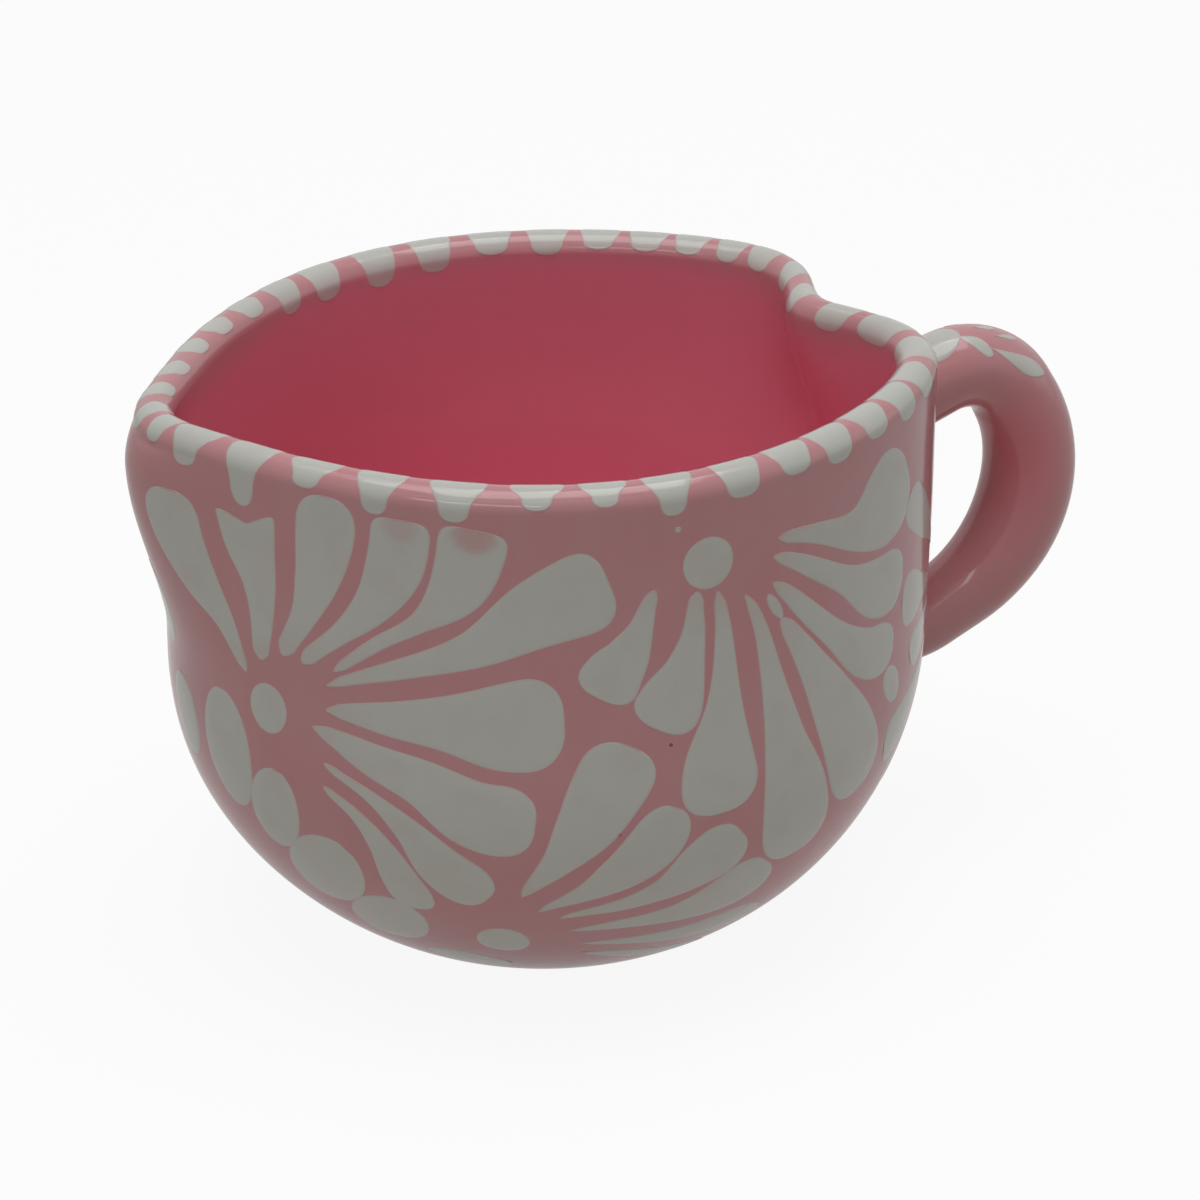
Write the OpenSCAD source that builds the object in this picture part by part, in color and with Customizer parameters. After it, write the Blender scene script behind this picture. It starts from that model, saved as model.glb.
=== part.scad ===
// Heart-mouthed clay mug: a round bowl whose rim is pressed into a heart, a rolled handle
// luted on at the cleft, and white slip brushed over the pink ground in fans of petals.
// Millimetres. The origin is the centre of the foot, +Z is up and +X points to the handle.

/* [Bowl] */
// Height of the mug, from the table to the top of the lip
mug_h = 80; // [74:1:92]
// Diameter of the flat foot
foot_d = 48; // [40:1:56]
// Diameter that the round bowl swells to
bowl_d = 104; // [98:1:116]
// Height at which the bowl stops swelling
belly_z = 40.5; // [34:0.5:46]
// How square the side of the bowl is
side_power = 2.2; // [1.8:0.1:2.8]
// How full the bowl is just above its foot
foot_power = 1.3; // [1.1:0.1:1.6]
// Thickness of the wall and of its rounded lip
wall_t = 5.4; // [4:0.2:7]
// Thickness of the floor
floor_t = 7; // [5:0.5:10]
// Diameter of the flat inside the floor
floor_d = 40; // [30:1:46]

/* [Heart mouth] */
// Diameter of the mouth across its plain sides
mouth_d = 92; // [86:1:104]
// How far the two lobes swell beside the handle
lobe_swell = 9; // [4:0.5:12]
// Angle over which the lobes die away
lobe_spread = 40; // [34:1:46]
// How far the cleft is pressed in
cleft_depth = 11.2; // [6:0.2:13]
// Angle over which the cleft dies away
cleft_spread = 15; // [12:1:20]
// Depth below the top of the lip at which most of the cleft dies away
cleft_reach = 26; // [20:1:34]
// Share of the cleft that fades more slowly, down to the foot
cleft_trace = 0.4; // [0:0.05:0.7]
// Turn of the cleft from the handle
cleft_turn = 4.7; // [0:0.1:8]
// How far the point opposite the cleft is drawn out
point_reach = 5.6; // [3:0.2:8]
// Angle over which the point dies away
point_spread = 30; // [24:1:36]
// How far the tip of the point flares below the lip
tip_flare = 5; // [3:0.1:8]
// Angle over which the tip dies away
tip_spread = 11; // [9:1:16]
// Height at which the tip starts to flare
flare_z = 44; // [36:1:50]
// Depth below the top of the lip at which the tip stops flaring
curl_drop = 8; // [5:0.5:12]
// How far the lip turns back in above that at the tip
tip_curl = 1.5; // [0:0.1:3]

/* [Handle] */
// Depth of the handle's upper end below the top of the lip
handle_drop = 17; // [15:0.5:20]
// Height of the handle's lower end above the table
handle_rise = 27; // [24:0.5:32]
// How far the shoulder's corner stands out from the wall at the upper end
shoulder_out = 17.5; // [15:0.5:22]
// How far the shoulder's corner stands above the upper end
shoulder_rise = 7; // [4:0.5:10]
// Bend radius of the shoulder
shoulder_r = 9.5; // [7:0.5:12]
// How far the elbow's corner stands out from the wall at the upper end
elbow_out = 33; // [29:0.5:38]
// How far down between the handle's two ends the elbow's corner lies
elbow_share = 0.55; // [0.4:0.01:0.65]
// Bend radius of the elbow
elbow_r = 21.5; // [14:0.5:24]
// How far the heel stands out from the wall at the lower end
heel_out = 8; // [6:0.5:12]
// How far the heel stands above the lower end
heel_rise = 1.5; // [0:0.5:5]
// Bend radius of the heel
heel_r = 11; // [4:0.5:12]
// Diameter of the coil at its upper end
coil_top_d = 11.6; // [8:0.2:14]
// Diameter of the coil at its thickest, below the elbow
coil_mid_d = 13.4; // [9:0.2:15]
// Diameter of the coil at its lower end
coil_low_d = 10; // [8:0.2:14]

/* [Luting clay] */
// Thickness of the slip between the handle's end and the wall
lute_t = 1.2; // [0.8:0.1:2]
// How far the smoothed clay reaches round the coil and up it
lute_reach = 3; // [2:0.2:4]
// Edge thickness of the smoothed clay
lute_edge = 0.5; // [0.3:0.1:0.8]

/* [Slip decoration] */
// Height of a slip stroke above the ground
slip_t = 0.4; // [0.3:0.1:0.6]
// Clearance under every stroke and round every luted joint
clearance = 0.12; // [0.08:0.01:0.2]
// Diameter of the dot at the middle of each fan
eye_d = 7; // [5:0.5:8]
// Turn from the handle of the fan at the left of the front
left_turn = -155.5; // [-160:0.5:-150]
// Turn from the left fan to the high fan on its right
high_step = 70.5; // [68:0.5:74]
// Turn from the left fan to the low fan below it
low_step = 37; // [35:0.5:39]
// Turn from the left fan to its twin at the back
back_step = 193.5; // [190:0.5:198]
// Turn from the handle of the fan beside it
handle_fan_turn = -14; // [-17:0.5:-12]
// How far up the side the left fan's dot is, from 0 at the foot to 1 at the lip
mid_share = 0.647; // [0.63:0.001:0.66]
// How far up the side the high fan's dot is
high_share = 0.905; // [0.89:0.001:0.91]
// How far up the side the low fan's dot is
low_share = 0.291; // [0.27:0.001:0.31]
// Dabs over the lip from the point round the front to the cleft
front_dabs = 17; // [12:1:18]
// Dabs over the lip from the cleft round the back to the point
back_dabs = 20; // [14:1:22]
// Bare lip left between two dabs
dab_gap = 1.2; // [0.8:0.1:3]

/* [Hidden] */
pink = "#D98B92";
white = "#E4E8E0";

wall_top = mug_h - wall_t / 2;
lip_r = wall_t / 2;
columns = 90;
ring_sides = 24;

// A petal is [turn, near, far, width, swing, bow, neck]: it leaves the dot in the direction turn,
// from near to far millimetres out, swinging and bowing by those angles on the way. A larger
// neck keeps it slender for longer before it widens to its width. The fans are drawn in units that
// stretch with the wall: so many to the length of the side, and so many round a bowl that has the
// diameters below at its foot, belly and mouth.
side_units = 89.2;
foot_units = 48;
belly_units = 104;
mouth_units = 92;
mid_petals = [
  [126.5, 6, 29, 9.2, -8, -4, 2.5], [98, 7, 26.5, 8.4, -1, 3.5, 2.5], [74, 9, 31.5, 8.2, -1, 3.5, 2.5],
  [58, 9.7, 34.8, 7.4, -1, 5.5, 3], [39.5, 13, 41, 7.4, 3, 2, 4], [32, 11, 49, 10.6, -2, 5, 3.5],
  [14.5, 9.5, 39.5, 12.8, -8, 2.5, 2], [-5, 7, 38, 9.8, -11, 2.5, 2], [-27, 11, 37, 8, -7.5, 2, 3],
  [-39, 13, 32.6, 6.8, -14, 0, 3]];
high_petals_rows = [
  [2, 10.5, 36, 12, 0, 8, 5], [-13, 10, 38, 8.6, -9.5, 4.5, 6], [-31.5, 11, 41, 8, -6, 4, 4],
  [-44.5, 13.5, 50, 10.8, -12, 3, 3], [-55, 9, 47.5, 10, -18, 5, 3.5], [-76, 5, 34, 10.4, -12, 3, 3],
  [-110, 4.8, 22.3, 7.6, -2.5, -5.5, 2], [-156, 7, 21.5, 7.2, 18, -9, 2]];
low_petals_rows = [
  [74, 11, 36.5, 10.4, -13, 5, 2.2], [57, 8.5, 33, 6.6, -10, 11, 2.5], [40, 10, 36.5, 7.4, -11, 7.5, 3],
  [18, 9, 38, 7, -3, 7.5, 4], [-5, 10, 36, 6, 0, 2, 3.5], [-24, 11, 29, 4.6, 0, 0, 2]];
handle_fan_rows = [
  [137, 8, 26, 6, 0, 0, 2.5], [160, 7.5, 24, 6, 0, 0, 2.5], [183, 7.5, 23, 6, 0, 0, 2.5],
  [207, 7.5, 24, 6.5, 0, 0, 2.5], [232, 8, 27, 7, 0, 0, 2.5]];

// A drop is [across, up, turn, length, width]: the middle of a loose egg of slip, measured from
// the dot of its fan, or from the lip at the point of the mouth, and the way it lies, in those units.
mid_drops = [[-8.4, -8.2, -88, 15, 8.4], [-0.2, -15.2, -100, 11.5, 8.4], [7.2, -23.2, -130, 13, 10],
  [13.5, -30.8, -145, 11.5, 8.5], [18.6, -40.8, -5, 12, 6], [-18.6, -8.6, -82, 12, 7]];
point_drop_rows = [[-1, -25, -85, 12, 5.5], [-11, -18, -80, 16, 7], [-12, -37, -85, 14, 7],
  [-24, -52, -70, 15, 8], [-8, -56, -80, 14, 8], [-18, -69, -60, 12, 7]];

// Tails of the dabs outside and inside the lip, used in turn
outer_tails = [1.5, 4.7, 0.6, 1.4, 1.2, 0.4, 1.3, 1.4, 1.3, 0.5, 1.3, 0.8, 1.5, 1, 0.6, 1.2, 1.4, 0.7];
inner_tails = [-0.6, -1.4, 1.6, -0.4, 2, 1.2, -0.8];
// Turn of the front row's first dab
front_first = -169.5;
// How square the dabs are: smaller is squarer
dab_round = 0.6;

// A leaf is [start, end, turn, swing, width]: the stretch along the coil from the wall, and the
// angle round the coil from its outer side.
leaf_rows = [[8, 16.6, -6, 6, 4.4], [16.3, 19.6, 42, 5, 2.6], [18.4, 20, 8, 0, 1.2], [20.4, 23, 30, -8, 1.6],
  [20, 27.4, 53, 7, 2.6], [16.5, 20, -44, -5, 2.6], [20.4, 27.6, -54, -6, 2.6]];
leaf_neck = 1.5;

// Signed angle from one turn to another
function away(a, centre) = (a - centre + 900) % 360 - 180;
function bell(a, spread) = exp(-pow(a / spread, 2));
function smooth(t) = let(s = min(1, max(0, t))) s * s * (3 - 2 * s);

// Outer radius of the mouth at a turn before the cleft is pressed: plain sides, two lobes, the point
function mouth_r(a) = mouth_d / 2 + lobe_swell * bell(away(a, 0), lobe_spread)
  + point_reach * bell(away(a, 180), point_spread);
function cleft(a) = cleft_depth * bell(away(a, cleft_turn), cleft_spread);
function rim_r(a) = mouth_r(a) - cleft(a);

// Radius of a round bowl that rises from a flat of radius low_r at low_z to high_r at the belly
function swell(z, low_z, low_r, high_r) =
  let(left = max(0, 1 - max(0, z - low_z) / (belly_z - low_z)))
  low_r + (high_r - low_r) * pow(1 - pow(left, side_power), 1 / foot_power);

// What pressing the mouth adds to the round bowl at a turn and a height
curl_z = mug_h - curl_drop;
cleft_z = mug_h - cleft_reach;
function pressed(a, z) = (mouth_r(a) - bowl_d / 2) * smooth(z / wall_top)
  - cleft(a) * (cleft_trace * smooth(z / wall_top)
    + (1 - cleft_trace) * smooth((z - cleft_z) / (wall_top - cleft_z)))
  + bell(away(a, 180), tip_spread) * (tip_flare * smooth((z - flare_z) / (curl_z - flare_z))
    - tip_curl * pow(max(0, (z - curl_z) / (wall_top - curl_z)), 2));

function wall_r(a, z) = swell(z, 0, foot_d / 2, bowl_d / 2) + pressed(a, z);
function inner_r(a, z) = swell(z, floor_t, floor_d / 2, bowl_d / 2 - wall_t) + pressed(a, z);
function at_turn(a, r, z) = [r * cos(a), r * sin(a), z];
function on_outside(a, z) = at_turn(a, wall_r(a, z), z);

// Heights that follow the round of the bowl from its flat, then the straight of the side
bowl_steps = 11;
side_steps = 9;
function heights(low_z) = [
  for (i = [0:bowl_steps]) low_z + (belly_z - low_z) * (1 - pow(cos(90 * i / bowl_steps), 2 / side_power)),
  for (i = [1:side_steps]) belly_z + (wall_top - belly_z) * i / side_steps];

// Outward normal of the outside at a turn and a height
function outward(a, z) =
  let(round = on_outside(a + 0.5, z) - on_outside(a - 0.5, z),
      rise = on_outside(a, z + 0.1) - on_outside(a, z - 0.1),
      n = cross(round, rise))
  n / norm(n);

// Lengths along the round bowl's side from the foot's edge, each paired with its height
side_line = [for (z = heights(0)) [swell(z, 0, foot_d / 2, bowl_d / 2), z]];
side_lengths = [for (i = 0, m = 0; i < len(side_line);
  m = m + (i + 1 < len(side_line) ? norm(side_line[i + 1] - side_line[i]) : 0), i = i + 1)
  [m, side_line[i][1]]];
side_length = side_lengths[len(side_lengths) - 1][0];

// Plain radius at a height of a bowl with these diameters at its foot, belly and mouth
function plain_r(z, foot, belly, mouth) =
  swell(z, 0, foot / 2, belly / 2) + (mouth - belly) / 2 * smooth(z / wall_top);
function side_r(z) = plain_r(z, foot_d, bowl_d, mouth_d);

// Point of the outside that lies across and up from a dot at turn a and length m, lifted off it
lowest_slip = 2;
function height_at(m) = lookup(max(lowest_slip, m), side_lengths);
function on_side(a, m, across, up, lift) =
  let(z = height_at(m + up), turn = a + across / side_r(z) * 180 / PI)
  on_outside(turn, z) + outward(turn, z) * lift;

// The same for a point of the drawn motif, in its own units
function on_motif(a, m, point, lift) =
  let(up = point[1] * side_length / side_units, z = height_at(m + up),
      stretch = side_r(z) / plain_r(z, foot_units, belly_units, mouth_units))
  on_side(a, m, point[0] * stretch, up, lift);

// Solid through a list of closed rings, shut at both ends on a middle point
module loft(rings, first, last) {
  n = len(rings[0]);
  rows = len(rings);
  function id(i, j) = i * n + j % n;
  polyhedron(
    points = [for (ring = rings) each ring, first, last],
    faces = [
      for (i = [0:rows - 2], j = [0:n - 1]) each [
        [id(i, j), id(i + 1, j), id(i + 1, j + 1)],
        [id(i, j), id(i + 1, j + 1), id(i, j + 1)]],
      for (j = [0:n - 1]) [rows * n, id(0, j), id(0, j + 1)],
      for (j = [0:n - 1]) [rows * n + 1, id(rows - 1, j + 1), id(rows - 1, j)]]);
}

// The pot: outside from the foot up, over the lip, and down the inside to the floor
lip_steps = 6;
module body() {
  turns = [for (j = [0:columns - 1]) 360 * j / columns];
  outside = heights(0);
  inside = heights(floor_t);
  color(pink)
    loft([
      for (z = outside) [for (a = turns) at_turn(a, wall_r(a, z), z)],
      for (k = [1:lip_steps - 1]) let(roll = 180 * k / lip_steps)
        [for (a = turns)
          at_turn(a, wall_r(a, wall_top) - lip_r + lip_r * cos(roll), wall_top + lip_r * sin(roll))],
      for (i = [len(inside) - 1:-1:0]) [for (a = turns) at_turn(a, inner_r(a, inside[i]), inside[i])]],
      [0, 0, 0], [0, 0, floor_t]);
}

// Corners of the coil's middle line, in the upright plane through the handle
upper_z = mug_h - handle_drop;
upper_end = [wall_r(0, upper_z), upper_z];
lower_end = [wall_r(0, handle_rise), handle_rise];
shoulder = upper_end + [shoulder_out, shoulder_rise];
elbow = upper_end + [elbow_out, -elbow_share * (upper_z - handle_rise)];
heel = lower_end + [heel_out, heel_rise];

function unit(v) = v / norm(v);
function half_turn(p, q, r) = acos(unit(q - p) * unit(r - q)) / 2;

// Bend radii, eased together where two bends would not fit between their corners
shoulder_cut = shoulder_r * tan(half_turn(upper_end, shoulder, elbow));
elbow_cut = elbow_r * tan(half_turn(shoulder, elbow, heel));
heel_cut = heel_r * tan(half_turn(elbow, heel, lower_end));
bend_fit = min(1, norm(elbow - shoulder) / (shoulder_cut + elbow_cut),
  norm(heel - elbow) / (elbow_cut + heel_cut));

// Arc that rounds the corner q between p and r, starting a length cut before it
bend_steps = 11;
function bend(p, q, r, cut) =
  let(a = q + unit(p - q) * cut, b = q + unit(r - q) * cut, half = half_turn(p, q, r),
      middle = q + unit(unit(p - q) + unit(r - q)) * cut / sin(half))
  [for (i = [0:bend_steps]) let(t = i / bend_steps)
    middle + ((a - middle) * sin((1 - t) * 2 * half) + (b - middle) * sin(t * 2 * half)) / sin(2 * half)];

coil_line = [upper_end,
  each bend(upper_end, shoulder, elbow, shoulder_cut * bend_fit),
  each bend(shoulder, elbow, heel, elbow_cut * bend_fit),
  each bend(elbow, heel, lower_end, heel_cut * bend_fit), lower_end];
coil_lengths = [for (i = 0, s = 0; i < len(coil_line);
  s = s + (i + 1 < len(coil_line) ? norm(coil_line[i + 1] - coil_line[i]) : 0), i = i + 1) s];
coil_length = coil_lengths[len(coil_lengths) - 1];
coil_x = [for (i = [0:len(coil_line) - 1]) [coil_lengths[i], coil_line[i][0]]];
coil_z = [for (i = [0:len(coil_line) - 1]) [coil_lengths[i], coil_line[i][1]]];
function coil_at(s) = [lookup(s, coil_x), 0, lookup(s, coil_z)];
function coil_way(s) = unit(coil_at(s + 0.2) - coil_at(s - 0.2));
function coil_r(s) = lookup(s / coil_length,
  [[0, coil_top_d / 2], [0.25, coil_top_d / 2], [0.55, coil_mid_d / 2], [1, coil_low_d / 2]]);

// Point at an angle round a ring of radius r, where way is the ring's axis; 180 is its outer side
function on_ring(middle, way, r, a) = middle + r * (cos(a) * [way[2], 0, -way[0]] + sin(a) * [0, 1, 0]);

// Where the line from p along way meets the surface that stands gap off the outside of the wall
function off_wall(p) = norm([p[0], p[1]]) - wall_r(atan2(p[1], p[0]), p[2]);
function to_wall(p, way, gap, tries = 8) = tries == 0 ? p :
  let(f = off_wall(p) - gap, slope = (off_wall(p + way * 0.01) - gap - f) / 0.01)
  to_wall(p - way * f / slope, way, gap, tries - 1);

upper_way = unit([shoulder[0] - upper_end[0], 0, shoulder[1] - upper_end[1]]);
lower_way = unit([heel[0] - lower_end[0], 0, heel[1] - lower_end[1]]);
ring_turns = [for (j = [0:ring_sides - 1]) 360 * j / ring_sides];

// Ring of radius r about the line through middle along way, carried back to a gap off the wall
function wall_ring(middle, way, r, gap) =
  [for (a = ring_turns) to_wall(on_ring(middle, way, r, a), way, gap)];

seat = lute_t + 2 * clearance;
module handle() {
  upper = [upper_end[0], 0, upper_end[1]];
  lower = [lower_end[0], 0, lower_end[1]];
  color(pink)
    loft([wall_ring(upper, upper_way, coil_top_d / 2, seat),
      for (i = [1:len(coil_line) - 2]) let(s = coil_lengths[i])
        [for (a = ring_turns) on_ring(coil_at(s), coil_way(s), coil_r(s), a)],
      [for (a = ring_turns) to_wall(on_ring(lower, -lower_way, coil_low_d / 2, a), lower_way, seat)]],
      to_wall(upper, upper_way, seat), to_wall(lower, lower_way, seat));
}

// Collar of luting clay: a pad on the wall, smoothed up round the coil's end in a hollow curve
hollow_out = 0.35;
hollow_up = 0.4;
module lute(end, way, r) {
  middle = [end[0], 0, end[1]];
  function collar(extra, gap) = wall_ring(middle, way, r + extra, gap);
  color(pink)
    loft([collar(lute_reach, clearance), collar(lute_reach, clearance + lute_edge),
      collar(lute_reach * hollow_out, clearance + lute_reach * hollow_up),
      collar(clearance + lute_edge, clearance + lute_reach), collar(clearance, clearance + lute_reach),
      collar(clearance, clearance + lute_t)],
      to_wall(middle, way, clearance), to_wall(middle, way, clearance + lute_t));
}
module upper_lute() lute(upper_end, upper_way, coil_top_d / 2);
module lower_lute() lute(lower_end, lower_way, coil_low_d / 2);

// Stations along a slip stroke between its two ends
stations = [0.05, 0.2, 0.38, 0.56, 0.72, 0.86, 0.96];

// Slip stroke: place(t, side, lift) is the point at station t, half(t) is half its width there
module stroke(place, half) {
  color(white)
    loft([for (t = stations) [place(t, half(t), clearance), place(t, 0, clearance + slip_t),
      place(t, -half(t), clearance), place(t, 0, clearance)]],
      place(0, 0, clearance), place(1, 0, clearance));
}

// Half width of a petal of width 1: a stalk that opens to a round head
stalk = 0.12;
head = 0.82;
function petal_half(t, neck) = (stalk + (1 - stalk) * pow(sin(90 * min(1, t / head)), neck)) / 2
  * sqrt(1 - pow(max(0, t - head) / (1 - head), 2));

function petal_line(p, t) =
  let(out = p[1] + (p[2] - p[1]) * t, way = p[0] + p[4] * t - p[5] * 4 * t * (1 - t))
  out * [cos(way), sin(way)];
function left_of(v) = [-v[1], v[0]] / norm(v);

// Fan of petals round a dot at turn a and length m up the side
module fan(rows, a, m) {
  for (p = rows)
    stroke(
      function(t, side, lift)
        let(q = petal_line(p, t) + side * left_of(petal_line(p, t + 0.01) - petal_line(p, t - 0.01)))
        on_motif(a, m, q, lift),
      function(t) p[3] * petal_half(t, p[6]));
}

module drops(rows, a, m) {
  for (p = rows)
    let(along = [cos(p[2]), sin(p[2])])
      stroke(
        function(t, side, lift)
          let(q = [p[0], p[1]] + along * p[3] * (t - 0.5) + side * left_of(along))
          on_motif(a, m, q, lift),
        function(t) p[4] * sqrt(t * (1 - t)));
}

// Dot of slip at the middle of a fan: a low dome on a round edge
eye_sides = 16;
dome_share = 0.6;
dome_lift = 0.8;
module eye(a, m) {
  function edge(r, lift) = [for (j = [0:eye_sides - 1]) let(b = 360 * j / eye_sides)
    on_side(a, m, r * cos(b), r * sin(b), lift)];
  color(white)
    loft([edge(eye_d / 2, clearance), edge(eye_d / 2 * dome_share, clearance + slip_t * dome_lift)],
      on_side(a, m, 0, 0, clearance), on_side(a, m, 0, 0, clearance + slip_t));
}

mid_m = side_length * mid_share;
high_m = side_length * high_share;
low_m = side_length * low_share;
back_turn = left_turn + back_step;
module left_petals() fan(mid_petals, left_turn, mid_m);
module left_eye() eye(left_turn, mid_m);
module left_drops() drops(mid_drops, left_turn, mid_m);
module high_petals() fan(high_petals_rows, left_turn + high_step, high_m);
module high_eye() eye(left_turn + high_step, high_m);
module low_petals() fan(low_petals_rows, left_turn + low_step, low_m);
module low_eye() eye(left_turn + low_step, low_m);
module handle_fan_petals() fan(handle_fan_rows, handle_fan_turn, mid_m);
module handle_fan_eye() eye(handle_fan_turn, mid_m);
module back_petals() fan(mid_petals, back_turn, mid_m);
module back_eye() eye(back_turn, mid_m);
module back_drops() drops(mid_drops, back_turn, mid_m);
module back_high_petals() fan(high_petals_rows, back_turn + high_step, high_m);
module back_high_eye() eye(back_turn + high_step, high_m);
module back_low_petals() fan(low_petals_rows, back_turn + low_step, low_m);
module back_low_eye() eye(back_turn + low_step, low_m);
module point_drops() drops(point_drop_rows, 180, side_length);

// Point on the lip's section: q runs from the top of the outside over the lip and down the inside
lip_length = PI * lip_r;
function on_lip(a, q, lift) =
  let(roll = min(180, max(0, q / lip_length * 180)), down = max(0, -q, q - lip_length),
      z = wall_top - down, r = q > lip_length ? inner_r(a, z) + lip_r : wall_r(a, z) - lip_r)
  at_turn(a, r + (lip_r + lift) * cos(roll), z + (lip_r + lift) * sin(roll));

// Each dab's turn and the angle it has: the front row from the point to the cleft, then the back row
front_pitch = (cleft_turn - front_first) / front_dabs;
back_pitch = (360 + front_first - cleft_turn) / back_dabs;
dab_rows = [
  for (i = [0:front_dabs - 1]) [front_first + front_pitch * i, front_pitch],
  for (i = [0:back_dabs - 1]) [cleft_turn + back_pitch * i, back_pitch]];
module rim_dabs() {
  for (i = [0:len(dab_rows) - 1])
    let(outer = outer_tails[i % len(outer_tails)], inner = inner_tails[i % len(inner_tails)],
        a = dab_rows[i][0], reach = lip_length + outer + inner,
        width = (rim_r(a) - lip_r) * dab_rows[i][1] * PI / 180 - dab_gap)
      stroke(
        function(t, side, lift) on_lip(a - side / rim_r(a) * 180 / PI, -outer + reach * t, lift),
        function(t) width / 2 * pow(sin(180 * t), dab_round));
}

module handle_leaves() {
  for (p = leaf_rows)
    stroke(
      function(t, side, lift)
        let(s = p[0] + (p[1] - p[0]) * t, r = coil_r(s))
        on_ring(coil_at(s), coil_way(s), r + lift, 180 + p[2] + p[3] * t - side / r * 180 / PI),
      function(t) p[4] * petal_half(t, leaf_neck));
}

body();
handle();
upper_lute();
lower_lute();
left_petals();
left_eye();
left_drops();
high_petals();
high_eye();
low_petals();
low_eye();
handle_fan_petals();
handle_fan_eye();
back_petals();
back_eye();
back_drops();
back_high_petals();
back_high_eye();
back_low_petals();
back_low_eye();
point_drops();
rim_dabs();
handle_leaves();
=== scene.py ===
import bpy
import numpy as np
from mathutils import Matrix


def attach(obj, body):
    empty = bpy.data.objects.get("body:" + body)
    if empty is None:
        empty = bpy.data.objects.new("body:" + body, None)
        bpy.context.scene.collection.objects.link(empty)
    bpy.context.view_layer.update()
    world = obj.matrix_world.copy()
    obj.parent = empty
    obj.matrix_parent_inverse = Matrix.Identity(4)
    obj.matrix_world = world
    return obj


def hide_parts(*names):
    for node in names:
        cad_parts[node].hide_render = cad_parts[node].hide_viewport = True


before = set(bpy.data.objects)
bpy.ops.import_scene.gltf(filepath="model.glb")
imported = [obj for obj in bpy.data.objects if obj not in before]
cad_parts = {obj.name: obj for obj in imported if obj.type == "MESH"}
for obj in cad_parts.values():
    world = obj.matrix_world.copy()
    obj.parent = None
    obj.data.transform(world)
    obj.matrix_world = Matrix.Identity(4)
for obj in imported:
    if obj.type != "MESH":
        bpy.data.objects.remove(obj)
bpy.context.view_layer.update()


# The bowl: earthenware thrown round, then pressed by hand at the rim so that the mouth is a heart,
# with a drawn-out point on one side and a cleft on the other. It is coated with pink slip and
# glazed clear inside and out. Only the flat foot, which stands on the kiln shelf, is left bare.

# Sizes are in millimetres and degrees.
MUG_H, FOOT_R, BOWL_R, BELLY_Z = 80, 24, 52, 40.5
SIDE_POWER, FOOT_POWER = 2.2, 1.3
WALL_T, FLOOR_T, FLOOR_R = 5.4, 7, 20
LIP_R = WALL_T / 2
WALL_TOP = MUG_H - LIP_R
MOUTH_R = 46
LOBE_SWELL, LOBE_SPREAD = 9, 40
POINT_REACH, POINT_SPREAD = 5.6, 30
CLEFT_DEPTH, CLEFT_TURN, CLEFT_SPREAD = 11.2, 4.7, 15
CLEFT_TRACE, CLEFT_Z = 0.4, MUG_H - 26
TIP_FLARE, TIP_CURL, TIP_SPREAD = 5, 1.5, 11
FLARE_Z, CURL_Z = 44, 72


def ease(t):
    """Rises smoothly from 0 to 1 while t does: three t squared less two t cubed."""
    s = np.clip(t, 0, 1)
    return s * s * (3 - 2 * s)


def bell(turn, centre, spread):
    """Bell curve round a turn: e to the minus square of the angle away over the spread."""
    off = (turn - centre + 900) % 360 - 180
    return np.exp(-(off / spread) ** 2)


def mouth_r(turn):
    """Outer radius of the mouth before its cleft is pressed: plain sides, plus the lobes and the point."""
    return MOUTH_R + LOBE_SWELL * bell(turn, 0, LOBE_SPREAD) + POINT_REACH * bell(turn, 180, POINT_SPREAD)


def cleft(turn):
    """How far the cleft is pressed in at the rim: a bell curve beside the handle."""
    return CLEFT_DEPTH * bell(turn, CLEFT_TURN, CLEFT_SPREAD)


def swell(z, low_z, low_r, high_r):
    """Radius of the round bowl: from low_r at low_z to high_r at the belly on a rounded power curve."""
    left = np.clip(1 - (z - low_z) / (BELLY_Z - low_z), 0, 1)
    return low_r + (high_r - low_r) * (1 - left ** SIDE_POWER) ** (1 / FOOT_POWER)


def pressed(turn, z):
    """What pressing adds to the radius: the mouth, eased in with height, less the cleft, most of which
    dies away 26 mm below the lip, and the tip of the point, which flares from 44 to 72 mm up and turns
    back in above that."""
    mouth = (mouth_r(turn) - BOWL_R) * ease(z / WALL_TOP)
    fold = CLEFT_TRACE * ease(z / WALL_TOP) + (1 - CLEFT_TRACE) * ease((z - CLEFT_Z) / (WALL_TOP - CLEFT_Z))
    flare = TIP_FLARE * ease((z - FLARE_Z) / (CURL_Z - FLARE_Z))
    curl = TIP_CURL * np.maximum(0, (z - CURL_Z) / (WALL_TOP - CURL_Z)) ** 2
    return mouth - cleft(turn) * fold + (flare - curl) * bell(turn, 180, TIP_SPREAD)


def wall_r(turn, z):
    """Radius of the outside at a turn and a height."""
    return swell(z, 0, FOOT_R, BOWL_R) + pressed(turn, z)


def inner_r(turn, z):
    """Radius of the inside at a turn and a height."""
    return swell(z, FLOOR_T, FLOOR_R, BOWL_R - WALL_T) + pressed(turn, z)


def at_turn(turn, r, z):
    """Point at a turn, a radius and a height."""
    turn, r, z = np.broadcast_arrays(np.radians(turn), r, z)
    return np.stack([r * np.cos(turn), r * np.sin(turn), z], -1)


def heights(low_z, round_steps, side_steps):
    """Heights that follow the round of the bowl from its flat, then the straight of the side."""
    a = np.linspace(0, np.pi / 2, round_steps + 1)
    low = low_z + (BELLY_Z - low_z) * (1 - np.cos(a).clip(0) ** (2 / SIDE_POWER))
    return np.concatenate([low, np.linspace(BELLY_Z, WALL_TOP, side_steps + 1)[1:]])


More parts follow.
